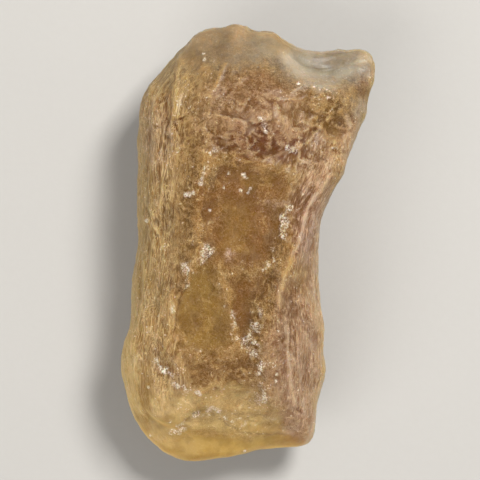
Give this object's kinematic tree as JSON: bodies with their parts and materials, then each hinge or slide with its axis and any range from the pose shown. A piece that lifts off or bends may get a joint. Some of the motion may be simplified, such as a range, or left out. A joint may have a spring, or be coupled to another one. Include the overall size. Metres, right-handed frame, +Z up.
{
  "type": "raw libyan desert glass",
  "caption": "Lump of cloudy yellow-brown natural desert glass, wind-fluted and frosted, with smooth hollows, a shell-shaped scar at one corner and a rounded toe.",
  "frame": {"origin": "under the middle of the lump's box, on the surface that it rests on", "axes": "+Y along the lump, towards the end with the horn; +X across it, towards the horn; +Z up, out of the broad face with the hollows"},
  "size_m": [0.0372, 0.064, 0.021],
  "materials": {
    "frosted_glass": "cloudy translucent natural glass, sand-frosted ridges and flutes, waxy smooth hollows"
  },
  "bodies": {
    "root": {"desert_glass": "frosted_glass"}
  },
  "joints": []
}
